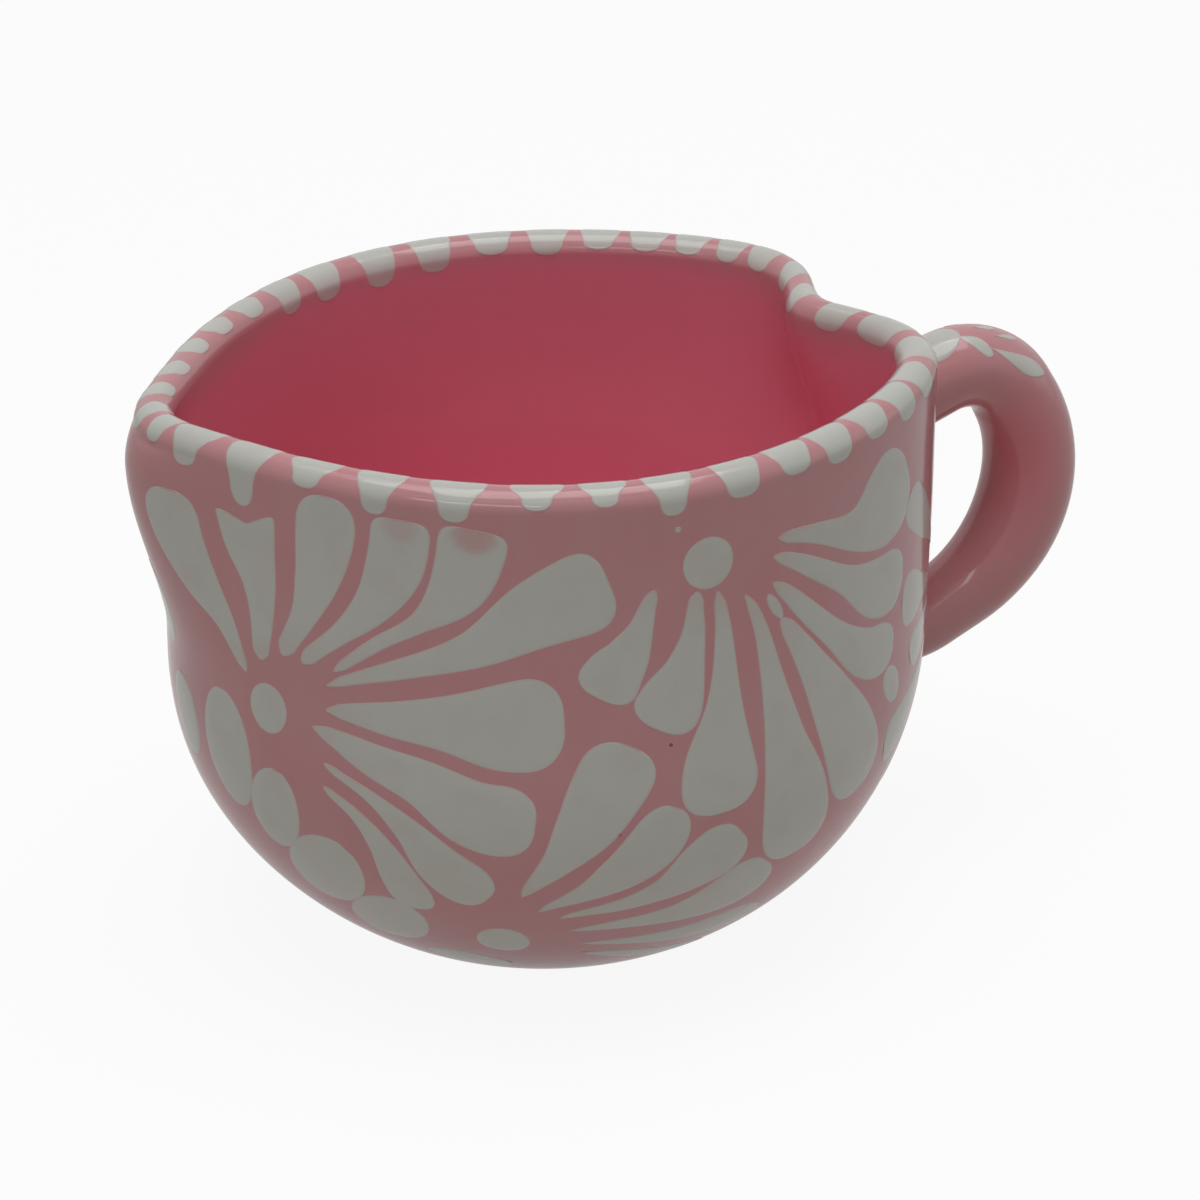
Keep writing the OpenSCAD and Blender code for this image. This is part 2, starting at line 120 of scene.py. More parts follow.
def loft(name, shells, material):
    """Closed skins through rings of points, each shut on a first and a last point, as one piece.
    A shell is rings (rows, sides, 3) in millimetres, two points, and a value per ring point."""
    points, quads, caps, values, count = [], [], [], [], 0
    for rings, first, last, value in shells:
        rows, sides = rings.shape[:2]
        i, j = np.meshgrid(np.arange(rows - 1), np.arange(sides), indexing="ij")
        k, j1 = np.arange(sides), (j + 1) % sides
        quad = np.stack([i * sides + j, i * sides + j1, (i + 1) * sides + j1, (i + 1) * sides + j], -1)
        top, end = rows * sides, (rows - 1) * sides
        cap = np.concatenate([np.stack([np.full(sides, top), (k + 1) % sides, k], -1),
                              np.stack([np.full(sides, top + 1), end + k, end + (k + 1) % sides], -1)])
        quad, skin = quad.reshape(-1, 4), np.concatenate([rings.reshape(-1, 3), [first, last]])
        corners = np.concatenate([quad[:, :3], quad[:, [0, 2, 3]], cap])
        a, b, c = (skin[corners[:, n]] for n in range(3))
        if np.einsum("ij,ij->", a, np.cross(b, c)) < 0:
            quad, cap = quad[:, ::-1], cap[:, ::-1]
        points.append(skin)
        quads.append(quad + count)
        caps.append(cap + count)
        values.append(np.concatenate([np.broadcast_to(value, (rows, sides)).ravel(),
                                      [np.mean(value[:1]), np.mean(value[-1:])]]))
        count += len(skin)
    mesh = bpy.data.meshes.new(name)
    faces = np.concatenate(quads).tolist() + np.concatenate(caps).tolist()
    mesh.from_pydata((np.concatenate(points) * 0.001).tolist(), [], faces)
    mesh.polygons.foreach_set("use_smooth", np.ones(len(faces), bool))
    mesh.attributes.new("layer", "FLOAT", "POINT").data.foreach_set("value", np.concatenate(values))
    mesh.materials.append(material)
    piece = bpy.data.objects.new(name, mesh)
    bpy.context.scene.collection.objects.link(piece)
    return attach(piece, "root")


def srgb(code):
    """Linear colour of an sRGB hex value."""
    c = np.array([int(code[n:n + 2], 16) for n in (1, 3, 5)]) / 255
    return (*np.where(c <= 0.04045, c / 12.92, ((c + 0.055) / 1.055) ** 2.4).tolist(), 1)


def add(tree, kind, settings, inputs):
    """Adds a node with its settings; an input is a value, or a socket to link from."""
    node = tree.nodes.new(kind)
    for key, value in settings.items():
        setattr(node, key, value)
    for key, value in inputs.items():
        if isinstance(value, bpy.types.NodeSocket):
            tree.links.new(value, node.inputs[key])
        else:
            node.inputs[key].default_value = value
    return node.outputs


def new_material(name):
    """Empty node material and its tree."""
    material = bpy.data.materials.new(name)
    material.use_nodes = True
    material.node_tree.nodes.clear()
    return material, material.node_tree


def slip_material(name):
    """Material of slip, its tree, the place on the piece and the piece's attribute layer."""
    material, tree = new_material(name)
    place = add(tree, "ShaderNodeTexCoord", {}, {})["Object"]
    layer = add(tree, "ShaderNodeAttribute", {"attribute_name": "layer"}, {})["Fac"]
    return material, tree, place, layer


# Colours of the pink slip: its plain tone and the paler one it clouds to, the rosier pink inside, the
# iron specks of the clay, and the bare clay itself. Then the sizes of its patterns in metres, and how
# rough the wet glaze and the bare clay are.
PINK, PINK_PALE, ROSE, SPECK, CLAY = "#D09094", "#D0979C", "#EC8EA3", "#3A2A2A", "#C9A184"
CLOUD, BRUSH, SPECKS_APART, ROLL, GRIT = 0.014, 0.003, 0.009, 0.007, 0.002
WET, MATT = 0.12, 0.85


def pink_ground(tree, place):
    """Colour of the pink slip: two tones clouded over 14 mm, and faint brushing 1.5 mm wide."""
    cloud = add(tree, "ShaderNodeTexNoise", {}, {"Vector": place, "Scale": 1 / CLOUD, "Detail": 3})
    long = add(tree, "ShaderNodeMapping", {}, {"Vector": place, "Scale": (1, 1, 0.12)})
    brush = add(tree, "ShaderNodeTexNoise", {}, {"Vector": long[0], "Scale": 1 / BRUSH, "Detail": 2})
    both = add(tree, "ShaderNodeMath", {"operation": "MULTIPLY_ADD"}, {0: brush[0], 1: 0.35, 2: cloud[0]})
    much = add(tree, "ShaderNodeMapRange", {}, {0: both[0], 1: 0.5, 2: 0.95})
    return add(tree, "ShaderNodeMix", {"data_type": "RGBA"},
               {0: much[0], 6: srgb(PINK), 7: srgb(PINK_PALE)})[2]


def specked(tree, place, colour):
    """The colour with sparse iron specks of the clay, half a millimetre across, burnt through it: a
    spot at the middle of each cell, in the one cell out of five or six that is picked."""
    cells = add(tree, "ShaderNodeTexVoronoi", {}, {"Vector": place, "Scale": 1 / SPECKS_APART})
    near = add(tree, "ShaderNodeMapRange", {}, {0: cells[0], 1: 0.028, 2: 0.05, 3: 1, 4: 0})
    few = add(tree, "ShaderNodeSeparateColor", {}, {0: cells[1]})
    pick = add(tree, "ShaderNodeMath", {"operation": "GREATER_THAN"}, {0: few[0], 1: 0.82})
    much = add(tree, "ShaderNodeMath", {"operation": "MULTIPLY"}, {0: near[0], 1: pick[0]})
    soft = add(tree, "ShaderNodeMath", {"operation": "MULTIPLY"}, {0: much[0], 1: 0.5})
    return add(tree, "ShaderNodeMix", {"data_type": "RGBA"}, {0: soft[0], 6: colour, 7: srgb(SPECK)})[2]


def glaze(tree, place, colour, rough):
    """Clear lead-free glaze over a colour: a wet gloss whose surface rolls gently over 7 mm."""
    roll = add(tree, "ShaderNodeTexNoise", {}, {"Vector": place, "Scale": 1 / ROLL, "Detail": 1.5})
    bump = add(tree, "ShaderNodeBump", {}, {"Height": roll[0], "Strength": 0.25, "Distance": 0.0002})
    shine = add(tree, "ShaderNodeBsdfPrincipled", {},
                {"Base Color": colour, "Roughness": rough, "IOR": 1.45, "Normal": bump[0]})
    add(tree, "ShaderNodeOutputMaterial", {}, {"Surface": shine[0]})


# Pink slip under clear glaze: cloudy, a little streaked by the brush, wet-looking all over. Inside
# the cup the pink turns rose; the paler pink left just under the lip is painted light on the lip's
# inner roll. Under the foot the clay is bare and matt. The attribute layer is 1 inside the cup and -1
# on a grain of iron.
pink_slip, tree, place, layer = slip_material("pink_slip_under_glaze")
outside = specked(tree, place, pink_ground(tree, place))
inside = add(tree, "ShaderNodeMix", {"data_type": "RGBA"}, {0: layer, 6: outside, 7: srgb(ROSE)})[2]
iron = add(tree, "ShaderNodeMapRange", {}, {0: layer, 1: 0, 2: -1})
inside = add(tree, "ShaderNodeMix", {"data_type": "RGBA"}, {0: iron[0], 6: inside, 7: srgb(SPECK)})[2]
height = add(tree, "ShaderNodeSeparateXYZ", {}, {0: place})["Z"]
grit = add(tree, "ShaderNodeTexNoise", {}, {"Vector": place, "Scale": 1 / GRIT})
edge = add(tree, "ShaderNodeMath", {"operation": "MULTIPLY_ADD"}, {0: grit[0], 1: 0.0004, 2: height})
bare = add(tree, "ShaderNodeMapRange", {}, {0: edge[0], 1: 0.0003, 2: 0.0005, 3: 1, 4: 0})
colour = add(tree, "ShaderNodeMix", {"data_type": "RGBA"}, {0: bare[0], 6: inside, 7: srgb(CLAY)})[2]
rough = add(tree, "ShaderNodeMapRange", {}, {0: bare[0], 3: WET, 4: MATT})
glaze(tree, place, colour, rough[0])

# The skin, from the middle of the foot up the outside, over the lip and down to the middle of the floor.
# The rose starts past the lip's crest and fades in over a few millimetres, more slowly by the point and
# by the cleft; the pale band this leaves under the lip is painted light on its inner roll.
COLUMNS = 480
ROSE_START, ROSE_FADE, WIDER_LIP_LIGHT = 2.2, 3.2, 4
turns = np.linspace(0, 360, COLUMNS, endpoint=False)
base = FOOT_R * np.array([0.25, 0.5, 0.75, 0.9, 0.97, 0.993])
up = heights(0, round_steps=72, side_steps=60)[:, None]
down = heights(FLOOR_T, round_steps=24, side_steps=16)[::-1, None]
roll = np.radians(np.linspace(0, 180, 22))[1:-1, None]
sole = FLOOR_R * np.array([0.97, 0.85, 0.65, 0.4])
bowl_rings = np.concatenate([
    at_turn(turns, base[:, None], 0.0),
    at_turn(turns, wall_r(turns, up), up),
    at_turn(turns, wall_r(turns, WALL_TOP) - LIP_R + LIP_R * np.cos(roll), WALL_TOP + LIP_R * np.sin(roll)),
    at_turn(turns, inner_r(turns, down), down),
    at_turn(turns, sole[:, None], FLOOR_T)])
past_crest = LIP_R * (roll[:, 0] - np.pi / 2)
depth = np.concatenate([np.zeros(len(base) + len(up)), past_crest,
                        past_crest[-1] + WALL_TOP - down[:, 0], np.full(len(sole), MUG_H)])
# Painted light: the pale band under the lip is wider by the point and by the cleft.
lip_light_fade = ROSE_FADE + WIDER_LIP_LIGHT * bell(turns, 160, 30) + WIDER_LIP_LIGHT * bell(turns, 10, 25)
rose = ease((depth[:, None] - ROSE_START) / lip_light_fade)
bowl = loft("bowl", [(bowl_rings, (0, 0, 0), (0, 0, FLOOR_T), rose)], pink_slip)
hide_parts("body")


# The handle: a coil of the same clay rolled by hand, a little thicker at its elbow, bent into a
# loop that one finger goes through, and coated and glazed with the bowl.
UPPER_Z, LOWER_Z = MUG_H - 17, 27
SHOULDER_R, ELBOW_R, HEEL_R = 9.5, 21.5, 11
ELBOW_SHARE = 0.55
COIL_TOP_R, COIL_MID_R, COIL_LOW_R = 5.8, 6.7, 5
EVEN_SHARE, FULLEST_SHARE = 0.2, 0.55
END_GAP = 0.4
upper_end = np.array([wall_r(0.0, UPPER_Z), UPPER_Z])
lower_end = np.array([wall_r(0.0, LOWER_Z), LOWER_Z])
shoulder = upper_end + [17.5, 7]
elbow = upper_end + [33, -ELBOW_SHARE * (UPPER_Z - LOWER_Z)]
heel = lower_end + [8, 1.5]


def unit(v):
    """The vector at length one."""
    return v / np.linalg.norm(v, axis=-1, keepdims=True)


def bend(p, q, r, radius):
    """Arc of that radius that rounds the corner q between p and r."""
    half = np.arccos(unit(q - p) @ unit(r - q)) / 2
    cut = radius * np.tan(half)
    a, b = q + unit(p - q) * cut, q + unit(r - q) * cut
    middle = q + unit(unit(p - q) + unit(r - q)) * cut / np.sin(half)
    t = np.linspace(0, 1, 40)[:, None]
    turned = (a - middle) * np.sin((1 - t) * 2 * half) + (b - middle) * np.sin(t * 2 * half)
    return middle + turned / np.sin(2 * half)


corners = np.concatenate([[upper_end], bend(upper_end, shoulder, elbow, SHOULDER_R),
                          bend(shoulder, elbow, heel, ELBOW_R), bend(elbow, heel, lower_end, HEEL_R),
                          [lower_end]])
run = np.concatenate([[0], np.cumsum(np.linalg.norm(np.diff(corners, axis=0), axis=1))])
COIL_LENGTH = run[-1]


def coil_at(s):
    """Point of the coil's middle line at a length along it from the wall."""
    s = np.asarray(s, float)
    return np.stack([np.interp(s, run, corners[:, 0]), 0 * s, np.interp(s, run, corners[:, 1])], -1)


def coil_way(s):
    """Direction of the middle line, taken over three millimetres so that it turns smoothly."""
    return unit(coil_at(np.minimum(s + 1.5, COIL_LENGTH)) - coil_at(np.maximum(s - 1.5, 0)))


def coil_r(s):
    """Radius of the coil: even at the shoulder, fullest below the elbow, slimmer at the heel."""
    t = np.asarray(s) / COIL_LENGTH
    fuller = (COIL_MID_R - COIL_TOP_R) * ease((t - EVEN_SHARE) / (FULLEST_SHARE - EVEN_SHARE))
    slimmer = (COIL_MID_R - COIL_LOW_R) * ease((t - FULLEST_SHARE) / (1 - FULLEST_SHARE))
    return COIL_TOP_R + fuller - slimmer


def on_ring(middle, way, r, a):
    """Point at an angle round a ring that way is the axis of; 180 degrees is its outer side."""
    across = np.stack([way[..., 2], 0 * way[..., 0], -way[..., 0]], -1)
    a, r = np.radians(a)[..., None], np.asarray(r)[..., None]
    return middle + r * (np.cos(a) * across + np.sin(a) * np.array([0, 1, 0]))


def to_wall(p, way, gap):
    """Where lines from points along way meet the surface that stands gap off the outside, found in
    eight steps, each as long as the gap that is left over its slope."""
    def off_wall(q):
        turn = np.degrees(np.arctan2(q[..., 1], q[..., 0]))
        return np.hypot(q[..., 0], q[..., 1]) - wall_r(turn, q[..., 2])

    for _ in range(8):
        slope = (off_wall(p + way * 0.01) - off_wall(p)) / 0.01
        p = p - way * ((off_wall(p) - gap) / slope)[..., None]
    return p


RING = np.linspace(0, 360, 64, endpoint=False)
s = np.linspace(0, COIL_LENGTH, 150)[4:-4]
rings = on_ring(coil_at(s)[:, None], coil_way(s)[:, None], coil_r(s)[:, None], RING)
upper_way = unit(coil_at(1.0) - coil_at(0.0))
lower_way = unit(coil_at(COIL_LENGTH - 1) - coil_at(COIL_LENGTH))
first = to_wall(on_ring(coil_at(0.0), upper_way, coil_r(0.0), RING), upper_way, END_GAP)
last = to_wall(on_ring(coil_at(COIL_LENGTH), -lower_way, coil_r(COIL_LENGTH), RING), lower_way, END_GAP)
rings = np.concatenate([[first], rings, [last]])

# How deep the painted shade is on the coil: on the flanks of its hollow side, a little all along and most
# in the bend, a share of the way down the coil.
FLANK, FLANK_SPREAD = 60, 55
SHADE_ALONG, SHADE_IN_BEND = 0.1, 0.7
BEND_SHARE, BEND_SPREAD = 0.42, 0.18
share = np.concatenate([[0], s, [COIL_LENGTH]])[:, None] / COIL_LENGTH
flanks = bell(np.abs((RING + 180) % 360 - 180), FLANK, FLANK_SPREAD)
hollow_shade = flanks * (SHADE_ALONG + SHADE_IN_BEND * np.exp(-((share - BEND_SHARE) / BEND_SPREAD) ** 2))

# Pink slip under the same wet glaze, with painted shade on the hollow side of the coil: a deeper red that
# stands for the shade and the red bounce light in the loop. The attribute layer rises to 0.8 in the hollow
# of the bend.
# Colour of the painted shade in the hollow of the loop.
SHADE_RED = "#DC7480"
shaded_slip, tree, place, layer = slip_material("pink_slip_with_painted_hollow_shade")
ground = specked(tree, place, pink_ground(tree, place))
colour = add(tree, "ShaderNodeMix", {"data_type": "RGBA"}, {0: layer, 6: ground, 7: srgb(SHADE_RED)})[2]
glaze(tree, place, colour, WET)

handle = loft("handle", [(rings, first.mean(0), last.mean(0), hollow_shade)], shaded_slip)
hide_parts("handle")


# The luting clay: soft clay worked with a wet finger round each end of the coil, which joins it to
# the wall in a hollow curve.
LUTE_REACH = 3.0
INTO_COIL, INTO_WALL = 0.06, 0.08


def lute(name, root, way, axis, r):
    """Collar round a coil's end: a hollow quarter round from the coil to the wall, whose edges sink a
    little into both, closed within."""
    hollow = np.radians(np.linspace(0, 90, 18))
    wide = LUTE_REACH * (1 - np.cos(hollow)) - INTO_COIL * np.cos(hollow)
    high = LUTE_REACH * (1 - np.sin(hollow)) - INTO_WALL * np.sin(hollow)
    # The rest of the section, out of sight: within the coil first, and under the wall's skin last
    wide = np.concatenate([[-1.2, -0.5], wide, [2, -1]])
    high = np.concatenate([[0.5, 2.2], high, [-0.5, -0.5]])
    rings = np.stack([to_wall(on_ring(root, axis, r + w, RING), way, h) for w, h in zip(wide, high)])
    piece = loft(name, [(rings, rings[0].mean(0), rings[-1].mean(0), np.zeros((1, 1)))], pink_slip)
    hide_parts(name)


lute("upper_lute", coil_at(0.0), upper_way, upper_way, coil_r(0.0))
lute("lower_lute", coil_at(COIL_LENGTH), lower_way, -lower_way, coil_r(COIL_LENGTH))


# The fans: white slip laid over the pink with a loaded brush, each petal one stroke that starts as a
# thin stalk by the fan's dot and ends in a full round head. The clear glaze runs over both.
WHITE, WHITE_THIN = "#CFCFC8", "#CEC7C0"
MOTTLE = 0.006

# White slip under clear glaze: chalky and slightly mottled, thinner where a stroke starts and at its
# edge, so that the pink shows through there, with the same wet gloss as the ground. The attribute
# layer is how fully the slip covers.
white_slip, tree, place, layer = slip_material("white_slip_under_glaze")
mottle = add(tree, "ShaderNodeTexNoise", {}, {"Vector": place, "Scale": 1 / MOTTLE, "Detail": 4})
much = add(tree, "ShaderNodeMapRange", {}, {0: mottle[0], 1: 0.5, 2: 0.85})
slip = add(tree, "ShaderNodeMix", {"data_type": "RGBA"},
           {0: much[0], 6: srgb(WHITE), 7: srgb(WHITE_THIN)})[2]
ground = pink_ground(tree, place)
colour = add(tree, "ShaderNodeMix", {"data_type": "RGBA"}, {0: layer, 6: ground, 7: slip})[2]
glaze(tree, place, specked(tree, place, colour), WET)

# Lengths up the side of the round bowl from the foot's edge, with the heights they reach
LOWEST_SLIP = 2
side_z = np.linspace(0, WALL_TOP, 1500) ** 1.5 / WALL_TOP ** 0.5
side_r = swell(side_z, 0, FOOT_R, BOWL_R)
side_m = np.concatenate([[0], np.cumsum(np.hypot(np.diff(side_z), np.diff(side_r)))])
SIDE_LENGTH = side_m[-1]


def on_side(turn, m, across, up, lift):
    """Point of the outside that lies across and up from a dot at a turn and a length m up the side,
    lifted off along the outward normal."""
    z = np.interp(np.maximum(LOWEST_SLIP, m + up), side_m, side_z)
    r = swell(z, 0, FOOT_R, BOWL_R) + (MOUTH_R - BOWL_R) * ease(z / WALL_TOP)
    a = turn + np.degrees(across / r)
    way = np.cross(at_turn(a + 0.5, wall_r(a + 0.5, z), z) - at_turn(a - 0.5, wall_r(a - 0.5, z), z),
                   at_turn(a, wall_r(a, z + 0.1), z + 0.1) - at_turn(a, wall_r(a, z - 0.1), z - 0.1))
    return at_turn(a, wall_r(a, z), z) + unit(way) * np.asarray(lift)[..., None]


# Section of a stroke, from one edge over the top to the other and back underneath, in half widths,
# and how far each point lifts off the ground: the edge sinks into it, and the slip is paper-thin.
HALF_ACROSS = np.array([1, 0.97, 0.9, 0.8, 0.6, 0.35, 0.1])
HALF_LIFT = np.array([-4, 0, 3, 5, 6, 6, 6]) * 0.01
UNDER_LIFT = -0.15
ACROSS = np.concatenate([HALF_ACROSS, -HALF_ACROSS[::-1], [-0.6, 0, 0.6]])
LIFT = np.concatenate([HALF_LIFT, HALF_LIFT[::-1], np.full(3, UNDER_LIFT)])
ALONG = 0.5 - 0.5 * np.cos(np.linspace(0, np.pi, 60))[1:-1]
SOFT_EDGE, EDGE_COVER = 0.3, 0.35
SCALLOP = 3


def covered(inset):
    """How fully slip covers at a distance in from its edge: thin at the edge, full past the soft edge."""
    return EDGE_COVER + (1 - EDGE_COVER) * ease(inset / SOFT_EDGE)


def stroke(spot, half, length, stalk=1.0, veil=0.0):
    """Shell of one stroke: spot(t, side, lift) is the point at a share t of its length, half(t) half
    its width. Its value is how fully the slip covers: thin at the edge, by stalk at the start, and by
    veil in a scallop 3 mm deep at the middle of the end."""
    t = ALONG[:, None]
    side = half(t) * ACROSS
    rings = spot(t + 0 * side, side, LIFT + 0 * side)
    inset = np.minimum((1 - np.abs(ACROSS)) * half(t), np.minimum(t, 1 - t) * length)
    cover = covered(inset) * (stalk + (1 - stalk) * ease(t / 0.25))
    scallop = ((1 - t) * length / SCALLOP) ** 2 + (ACROSS / 0.8) ** 2
    cover = cover * (1 - veil * ease(1.7 * (1 - scallop)))
    ends = [spot(np.array([e]), np.array([0.0]), LIFT[:1])[0] for e in (0.0, 1.0)]
    return rings, ends[0], ends[1], cover


def through(knots, t):
    """Smooth curve through evenly spaced knots: cubic pieces with the slope of the knots either side."""
    y = np.asarray(knots, float)
    g = np.gradient(y)
    x = np.clip(t, 0, 1) * (len(y) - 1)
    i = np.minimum(len(y) - 2, x.astype(int))
    u = x - i
    before, after = (1 + 2 * u) * y[i] + u * g[i], (3 - 2 * u) * y[i + 1] - (1 - u) * g[i + 1]
    return before * (1 - u) ** 2 + after * u ** 2


# How far the slip spreads past a petal's drawn outline, how fully it covers at the stalk, and over what
# shares of its length a petal starts and rounds off, the latter less where its end is squarer
SPREAD, STALK = 0.28, 0.85
START_SHARE, ROUND_SHARE = 0.06, 0.43


def petal(turn, m, near, far, ways, halves, square=2.4, notch=0.0, veil=0.0):
    """Stroke from near to far out of the dot, along directions and half widths given at five places,
    from a fine start to an end that is round, or squarer where square is larger, and notched in its
    middle."""
    length = far - near + SPREAD
    head = 1 - ROUND_SHARE / square

    def line(t, back):
        out, way = near + length * t - back, np.radians(through(ways, t))
        return np.stack([out * np.cos(way), out * np.sin(way)], -1)

    def half(t):
        tip = (1 - (np.maximum(0, t - head) / (1 - head)) ** square) ** (1 / square)
        return (through(halves, t) + SPREAD * ease(4 * t)) * tip * np.minimum(1, t / START_SHARE) ** 0.5

    def spot(t, side, lift):
        along = unit(line(np.minimum(1, t + 0.01), 0) - line(np.maximum(0, t - 0.01), 0))
        middle = np.maximum(0, 1 - np.abs(side) / (halves[-1] + SPREAD))
        q = line(t, notch * ease(3 * t - 2) * middle)
        q = q + side[..., None] * np.stack([-along[..., 1], along[..., 0]], -1)
        return on_side(turn, m, q[..., 0], q[..., 1], lift)

    return stroke(spot, half, length, STALK, veil)


def eye(turn, m, radius=3.6, across=0.0, up=0.0, wide=1.0):
    """Shell of a dot: rings out from its top to its edge, and back underneath, so many times as wide as
    it is high."""
    r = np.array([0.15, 0.35, 0.6, 0.8, 0.9, 0.96, 1, 0.6, 0.25]) * radius
    lift = np.concatenate([HALF_LIFT[::-1], np.full(2, UNDER_LIFT)])
    a = np.radians(np.linspace(0, 360, 56, endpoint=False))
    wide_r, high_r = wide * r[:, None] * np.cos(a), r[:, None] * np.sin(a)
    rings = on_side(turn, m, across + wide_r, up + high_r, lift[:, None] + 0 * a)
    ends = [on_side(turn, m, across, up, h) for h in (HALF_LIFT[-1], UNDER_LIFT)]
    return rings, ends[0], ends[1], covered(radius - r)[:, None] + 0 * a


def drop(turn, m, across, up, way, length, width):
    """Stroke with an oval outline round a middle point, lying in the direction way."""
    along = np.array([np.cos(np.radians(way)), np.sin(np.radians(way))])

    def spot(t, side, lift):
        q = np.array([across, up]) + (length * (t - 0.5))[..., None] * along
        q = q + side[..., None] * np.array([-along[1], along[0]])
        return on_side(turn, m, q[..., 0], q[..., 1], lift)

    return stroke(spot, lambda t: width * np.sqrt(t * (1 - t)), length)


def white(name, shells):
    """One motif of white slip, in the place of the node of its name."""
    piece = loft(name, shells, white_slip)
    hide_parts(name)


# A petal is near, far, its directions and its half widths, and where it needs them, how square its end
# is, how deep it is notched and how thin the slip is there. Each fan's dot has a length up the side and
# a turn from the handle, and the fans of the hidden side are the same ones carried round.
MID_PETALS = [
    (5.2, 29.2, (131, 125, 125.6, 122, 116), (0.75, 1.4, 2.85, 3.35, 3.2), 2.6),
    (6.5, 26.6, (99, 94.5, 94, 96.2, 96.4), (1.3, 1.5, 2.3, 3.55, 4.2), 5, 1.9),
    (8.4, 32.2, (74.5, 70, 70.2, 72.2, 74.5), (1.3, 1.5, 2.75, 3.75, 3.9)),
    (9.4, 34.7, (57, 52, 50.5, 53, 58.5), (1.2, 1.1, 2.2, 3.5, 3.7), 4, 0, 0.25),
    (12.4, 40, (39.2, 39.7, 38.4, 40.4, 47), (0.7, 0.75, 1.2, 3.5, 4.4), 4, 0, 0.6),
    (10.3, 49, (33, 28.4, 26.2, 27.8, 27), (0.6, 1.1, 2.2, 4.5, 6), 3),
    (9, 39.5, (15, 10, 8, 6.3, 6.5), (0.7, 2, 3.5, 5.8, 6.5)),
    (6.8, 37.9, (-4, -10.5, -12.6, -16.5, -14.5), (0.7, 2, 3.1, 4.7, 5.2)),
    (10, 36.6, (-30.3, -27.8, -30.2, -35, -36.3), (0.6, 0.6, 1.8, 3.7, 4.3)),
    (12, 32.2, (-43.8, -40.3, -42.5, -47.8, -53), (0.6, 0.7, 1.6, 2.75, 3.3))]
HIGH_PETALS = [
    (10.3, 36.8, (3.5, -2.3, -6.3, -3.5, 1.5), (0.8, 1.2, 2.6, 6.2, 6.6)),
    (9.6, 39, (-9.5, -17.5, -22, -23.5, -20.5), (0.8, 1.2, 1.8, 3.9, 4.5)),
    (10.6, 40.8, (-28.5, -35, -37.8, -38, -33.5), (0.8, 1.3, 1.8, 3.1, 3.9)),
    (14.6, 48.2, (-44, -48.6, -51.6, -53.8, -57), (1, 2, 3.8, 5.4, 5.6)),
    (7.4, 47.8, (-47, -61, -67.6, -70.4, -72.8), (0.7, 1.3, 2.9, 5.4, 6.2)),
    (4.2, 33.9, (-74, -80.3, -84.8, -88.2, -88.2), (0.8, 1.2, 2.4, 4.9, 5.9)),
    (3.8, 22, (-113, -104.5, -104.5, -107, -109.3), (1, 1.3, 2.4, 4.2, 4.7)),
    (7.4, 21.4, (-161, -143.5, -136.5, -134.5, -132.5), (0.8, 1.3, 2.6, 3.7, 3.9))]
LOW_PETALS = [
    (11, 36.1, (74, 65.5, 62.3, 62, 62), (0.6, 1.75, 3.75, 4.85, 5.1)),
    (9, 32.3, (57, 46, 42, 41.7, 45), (0.4, 1.2, 2.8, 3.7, 3.3)),
    (9.8, 36.4, (39, 28.5, 25.2, 26.4, 27.6), (0.5, 0.9, 1.9, 3.9, 4.1)),
    (9, 37.8, (19, 13, 10, 11, 15), (0.4, 1, 2.1, 3.8, 4)),
    (10, 36, (-5, -6, -7, -6, -5), (0.4, 1, 2.1, 3.2, 3.4)),
    (10.6, 29, (-24, -24, -25, -26, -24), (0.3, 1.2, 1.8, 2.2, 2.3))]
MID_M, HIGH_M, LOW_M = 57.9, 80.9, 26.1
LEFT, HIGH, LOW = -155.5, -85.2, -118.4
BACK = 193.5
OVAL_EYE = 0.85
# The high fan alone has a small drop among its stalks and a small dot above its eye: across and up from
# the eye, the way it lies, length and width, and radius, across and up
STALK_DROP = (9.7, -8.3, -59, 4.4, 1.7)
SMALL_DOT = (0.45, -4.1, 5.2)


def fan(rows, turn, m):
    """Shells of a fan of petals round the dot at a turn and a length m up the side."""
    return [petal(turn, m, *row) for row in rows]


white("left_petals", fan(MID_PETALS, LEFT, MID_M))
white("left_eye", [eye(LEFT, MID_M, wide=OVAL_EYE)])
white("high_petals", fan(HIGH_PETALS, HIGH, HIGH_M) + [drop(HIGH, HIGH_M, *STALK_DROP)])
white("high_eye", [eye(HIGH, HIGH_M), eye(HIGH, HIGH_M, *SMALL_DOT)])
white("low_petals", fan(LOW_PETALS, LOW, LOW_M))
white("low_eye", [eye(LOW, LOW_M)])
white("back_petals", fan(MID_PETALS, LEFT + BACK, MID_M))
white("back_eye", [eye(LEFT + BACK, MID_M, wide=OVAL_EYE)])
white("back_high_petals", fan(HIGH_PETALS, HIGH + BACK, HIGH_M))
white("back_high_eye", [eye(HIGH + BACK, HIGH_M)])
white("back_low_petals", fan(LOW_PETALS, LOW + BACK, LOW_M))
white("back_low_eye", [eye(LOW + BACK, LOW_M)])

# The fan beside the handle: the same strokes of white slip, whose petals open away from the coil, with
# one loose drop at their tips.
HANDLE_FAN = -14
HANDLE_DROP = (-26.8, -5.2, -65, 6, 4.6)
HANDLE_PETALS = [
    (8, 27, (136, 136, 136, 136, 136), (0.6, 1, 2.2, 3, 3)),
    (8, 22.6, (168, 168, 168, 168, 168), (0.6, 1, 2.4, 3.6, 3.6)),
    (8, 20.4, (193, 193, 193, 193, 193), (0.6, 0.9, 1.8, 2.5, 2.5)),
    (12, 31.5, (211, 211, 211, 210, 208), (0.5, 1.1, 2.4, 3.6, 3.8)),
    (9, 31, (235, 235, 235, 235, 235), (0.6, 1.2, 2.8, 4.2, 4.4))]
white("handle_fan_petals", fan(HANDLE_PETALS, HANDLE_FAN, MID_M)
      + [drop(HANDLE_FAN, MID_M, *HANDLE_DROP)])
white("handle_fan_eye", [eye(HANDLE_FAN, MID_M)])


